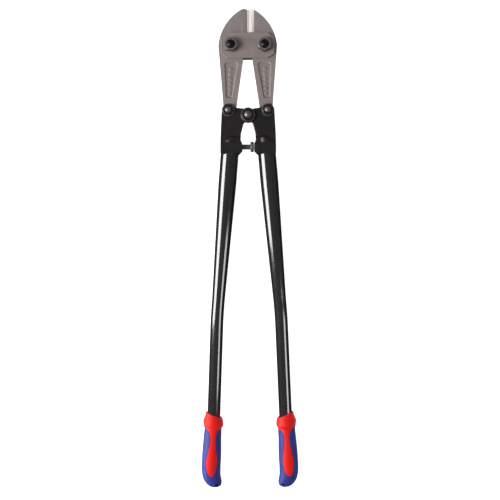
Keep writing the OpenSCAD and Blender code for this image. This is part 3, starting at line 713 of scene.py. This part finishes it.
# Blue body, from under the collar to the rounded end, with a channel under each tongue
down = np.concatenate([np.linspace(16, 130, 180), np.linspace(130.4, 138.6, 28), [138.85, 139]]) * mm
shift, wide, deep = (v[:, None] for v in grip_section(down))
collar_edge = COLLAR_LOW + LOW_DIP * np.sin(around) ** 2 - LOW_SLANT * wide * cosine
under_collar = np.clip((collar_edge - down[:, None]) / (0.5 * mm) + 1, 0, 1)
body_x = shift + (wide - COLLAR_TUCK * under_collar) * cosine
body_z = (deep - COLLAR_TUCK * under_collar) * sine
past = tongue_half(down)[:, None] - np.abs(body_x - tongue_middle(down)[:, None])
sunk = np.clip(past / (0.8 * mm) + 1, 0, 1) * (down[:, None] < TONGUE_END + 0.6 * mm)
sunk = sunk * sunk * (3 - 2 * sunk) * CHANNEL_DEPTH
body_z = body_z - np.sign(body_z) * np.minimum(sunk, np.abs(body_z))
body_grid = np.stack([body_x, np.broadcast_to(-down[:, None], body_x.shape), body_z], -1)
tube_ring = TUBE_LOW + 0.05 * mm
inner_start, inner_end = (
    np.stack([tube_ring * np.cos(around), np.full(ROUND_STEPS, y), tube_ring * np.sin(around)], -1)
    for y in (-down[0], -BORE_END))
body_grid = np.concatenate([[inner_end, inner_start], body_grid])

# Red collar: slanted mouth, a slanted ridge, and a skirt that closes over the blue body
share = np.linspace(0, 1, 80)[:, None]
side_x = np.cos(around) * COLLAR_RADIUS
mouth_at = -MOUTH_SLANT * side_x
ridge_at = RIDGE_AT + RIDGE_DIP * np.sin(around) ** 2 - RIDGE_SLANT * side_x
collar_low = COLLAR_LOW + LOW_DIP * np.sin(around) ** 2 - LOW_SLANT * side_x
collar_down = mouth_at + (collar_low - mouth_at) * share
shift, wide, deep = grip_section(collar_down)
above = np.clip((collar_down - ridge_at) / (11 * mm) + 1, 0, 1) ** 1.6
below = np.clip((ridge_at - collar_down) / (collar_low - ridge_at) + 1, 0, 1)
ridge = np.where(collar_down < ridge_at, above, below * below * (3 - 2 * below)) * RIDGE_RISE
lip = np.clip(1 - (collar_down - mouth_at) / (1.2 * mm), 0, 1) ** 2 * 0.9 * mm
collar_x = shift + (wide + ridge - lip) * cosine
collar_z = (deep + ridge * 0.9 - lip) * sine
collar_grid = np.stack([collar_x, -collar_down, collar_z], -1)
mouth_r = tube_ring + 0.6 * mm
mouth_ring = np.stack([mouth_r * np.cos(around), -mouth_at - 0.2 * mm, mouth_r * np.sin(around)], -1)
mouth_deep = np.stack([tube_ring * np.cos(around), -mouth_at - 3 * mm, tube_ring * np.sin(around)], -1)
skirt = np.stack([tube_ring * np.cos(around), -collar_low, tube_ring * np.sin(around)], -1)
collar_grid = np.concatenate([[mouth_deep, mouth_ring], collar_grid, [skirt, mouth_deep]])

# Red tongues, one in each face: a long oval with a narrow neck, its border tucked into the body
across = np.sin(np.linspace(-1, 1, TONGUE_STEPS) * math.pi / 2)
last_run = 9 * mm
tongue_down = np.concatenate([np.linspace(18.5 * mm, TONGUE_END - last_run, 150),
                              TONGUE_END - last_run * np.cos(np.linspace(0, math.pi / 2, 26))[1:]])
half = tongue_half(tongue_down)[:, None]
tongue_x = tongue_middle(tongue_down)[:, None] + half * across
shift, wide, deep = (v[:, None] for v in grip_section(tongue_down))
inside = np.clip(1 - np.abs((tongue_x - shift) / wide) ** (2 / SQUARENESS), 0.02, 1)
top = deep * inside ** (SQUARENESS / 2)
collar_over = COLLAR_LOW + LOW_DIP - 1 * mm - LOW_SLANT * tongue_x
buried = np.clip((collar_over - tongue_down[:, None]) / (1 * mm), 0, 1)
edge = np.clip((1 - np.abs(across)) * half / (0.9 * mm), 0, 1)
ends = np.clip((TONGUE_END - tongue_down[:, None]) / (0.9 * mm), 0, 1)
tuck = (1 - np.minimum(edge, ends)) ** 2 * 0.8 * mm + buried * 0.4 * mm
tongue_top = np.stack([tongue_x, np.broadcast_to(-tongue_down[:, None], tongue_x.shape), top - tuck], -1)
tongue_base = tongue_top - np.array([0, 0, 2.5 * mm])

# A lanyard slot near the end goes right through the blue body
SLOT_X, SLOT_DOWN, SLOT_LENGTH, SLOT_WIDTH = -9.8 * mm, 131.5 * mm, 6 * mm, 3.4 * mm
half_turn = np.linspace(-math.pi / 2, math.pi / 2, 17)
slot_end = (SLOT_LENGTH - SLOT_WIDTH) / 2
slot_outline = [(s * (slot_end + SLOT_WIDTH / 2 * math.cos(a)), s * SLOT_WIDTH / 2 * math.sin(a))
                for s in (1, -1) for a in half_turn]


def cut_slot(piece):
    """Cuts the lanyard slot by an upright bar of the slot's outline."""
    work = bmesh.new()
    rings = [[work.verts.new((SLOT_X + x, -SLOT_DOWN + y, z)) for x, y in slot_outline]
             for z in (-GRIP_HALF_DEPTH, GRIP_HALF_DEPTH)]
    for k in range(len(slot_outline)):
        j = (k + 1) % len(slot_outline)
        work.faces.new((rings[0][k], rings[0][j], rings[1][j], rings[1][k]))
    work.faces.new(rings[0][::-1])
    work.faces.new(rings[1])
    bar = as_piece(work, "slot_bar", blue_plastic)
    cut = piece.modifiers.new("slot", "BOOLEAN")
    cut.object = bar
    cut.solver = "EXACT"
    apply_modifiers(piece)
    bpy.data.objects.remove(bar)
    piece.data.set_sharp_from_angle(angle=math.radians(40))


for side, sign in SIDES.items():
    body_low, body_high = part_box(f"{side}_grip")
    lean = Matrix.Rotation(LOWER_LEAN, 4, "Z")
    work, rings = grid_mesh([body_grid], True)
    work.faces.new(rings[0][-1])
    work.faces.new(rings[0][0])
    blue = as_piece(work, f"{side}_grip_moulding", blue_plastic)
    cut_slot(blue)
    parts = [as_piece(grid_mesh([collar_grid], True)[0], f"{side}_collar", red_rubber)]
    for face in (1, -1):
        flip = np.array([1, 1, face])
        work, (upper, lower) = grid_mesh([tongue_top * flip, tongue_base * flip], False)
        border = [[rows[0][k] for k in range(TONGUE_STEPS)] + [row[-1] for row in rows[1:]]
                  + [rows[-1][k] for k in range(TONGUE_STEPS - 2, -1, -1)] + [row[0] for row in rows[-2:0:-1]]
                  for rows in (upper, lower)]
        count = len(border[0])
        for k in range(count):
            j = (k + 1) % count
            work.faces.new((border[0][k], border[0][j], border[1][j], border[1][k]))
        parts.append(as_piece(work, f"{side}_tongue", red_rubber))
    red_mesh = bpy.data.meshes.new(f"{side}_grip_rubber")
    joined = bmesh.new()
    for part in parts:
        joined.from_mesh(part.data)
        bpy.data.objects.remove(part)
    joined.to_mesh(red_mesh)
    joined.free()
    red_mesh.materials.append(red_rubber)
    red = bpy.data.objects.new(f"{side}_grip_rubber", red_mesh)
    bpy.context.scene.collection.objects.link(red)
    # The body's own box puts both mouldings on the tube
    blue.data.transform(lean)
    corners = np.array([v.co for v in blue.data.vertices])
    right_x = max(abs(body_low.x), abs(body_high.x))
    move = Vector((right_x - corners[:, 0].max(), body_low.y - corners[:, 1].min(), mid_z))
    blue.data.transform(Matrix.Translation(move))
    red.data.transform(Matrix.Translation(move) @ lean)
    if sign < 0:
        for piece in (blue, red):
            piece.data.transform(Matrix.Scale(-1, 4, (1, 0, 0)))
            piece.data.flip_normals()
    hand_over(blue, f"{side}_handle", "blue_grip", f"{side}_grip")
    hand_over(red, f"{side}_handle", "red_grip", f"{side}_grip_inlay")


# ---- Studio ----------------------------------------------------------------------------------
# A glowing white table that casts no shadow and shows none, a soft key light and a low side
# strip from the left for all but the tubes, two strips for the tubes alone, and a dim room.
TABLE = 12
floor_mesh = bpy.data.meshes.new("table")
floor_mesh.from_pydata([(x * TABLE, y * TABLE, 0) for x, y in ((-1, -1), (1, -1), (1, 1), (-1, 1))],
                       [], [(0, 1, 2, 3)])
floor = bpy.data.objects.new("table", floor_mesh)
bpy.context.scene.collection.objects.link(floor)
floor.location.z = cad_box[0][2] - 0.2 * mm
floor.visible_glossy = False
floor.visible_shadow = False
white, tree, _ = new_material("white_table")
finish_material(tree, add(tree, "ShaderNodeBsdfPrincipled", {
    "Base Color": (0.8, 0.8, 0.8, 1), "Roughness": 0.9, "Emission Color": (1, 1, 1, 1),
    "Emission Strength": 1.0}))
floor_mesh.materials.append(white)

# The room is pale above the table's level and dark below it
world = bpy.data.worlds.new("pale_room")
world.use_nodes = True
tree = world.node_tree
tree.nodes.clear()
way = add(tree, "ShaderNodeSeparateXYZ", {0: add(tree, "ShaderNodeTexCoord").outputs["Generated"]})
level = add(tree, "ShaderNodeMapRange", {"Value": way.outputs["Z"], "From Min": -0.1, "From Max": 0.02,
                                         "To Min": 0.02, "To Max": 0.3})
room = add(tree, "ShaderNodeBackground", {"Color": (1, 1, 1, 1), "Strength": level.outputs["Result"]})
add(tree, "ShaderNodeOutputWorld", {"Surface": room.outputs["Background"]})
bpy.context.scene.world = world


def softbox(name, place, target, size, power):
    """A rectangular area light, sized along Y and then upward, that looks at its target."""
    light = bpy.data.lights.new(name, "AREA")
    light.shape = "RECTANGLE"
    light.size, light.size_y = size
    light.energy = power
    lamp = bpy.data.objects.new(name, light)
    bpy.context.scene.collection.objects.link(lamp)
    lamp.location = place
    lamp.rotation_euler = (Vector(target) - Vector(place)).to_track_quat("-Z", "Y").to_euler()
    return lamp


key = softbox("key_light", (-2.0, -0.1, 1.7), (0, 0, 0), (1.2, 2.2), 62)
side_strip = softbox("side_strip", (-1.6, 0, 0.02), (0, 0, 0.02), (3.0, 1.0), 34)
tube_strip = softbox("tube_strip", (-1.74, 0.5, 0.99), (0, 0.5, 0), (1.45, 1.5), 150)
edge_strip = softbox("edge_strip", (1.62, -0.4, 1.18), (0, -0.4, 0), (0.5, 1.0), 19)

# Light linking: only the tubes take tube_strip and edge_strip, and only they miss the key and
# the side strip. It sets their white band for the main view and isn't one common set of lights
for name, state, lamps in (("tubes_only", "INCLUDE", (tube_strip, edge_strip)),
                           ("all_but_tubes", "EXCLUDE", (key, side_strip))):
    linked = bpy.data.collections.new(name)
    for side in SIDES:
        linked.objects.link(bpy.data.objects[f"{side}_tube_coated"])
    for entry in linked.collection_objects:
        entry.light_linking.link_state = state
    for lamp in lamps:
        lamp.light_linking.receiver_collection = linked

# The camera looks straight down from nearly two metres, over the middle of the tool
LENS, CAMERA_HEIGHT, CAMERA_ROLL = 71.47, 1.9, math.radians(-0.31)
AIM = (2.3 * mm, -3.35 * mm)
camera_data = bpy.data.cameras.new("camera")
camera_data.sensor_width = 36
camera_data.lens = LENS
camera = bpy.data.objects.new("camera", camera_data)
bpy.context.scene.collection.objects.link(camera)
camera.location = (*AIM, mid_z + CAMERA_HEIGHT)
camera.rotation_euler = (0, 0, CAMERA_ROLL)
bpy.context.scene.camera = camera
bpy.context.scene.view_settings.view_transform = "Standard"
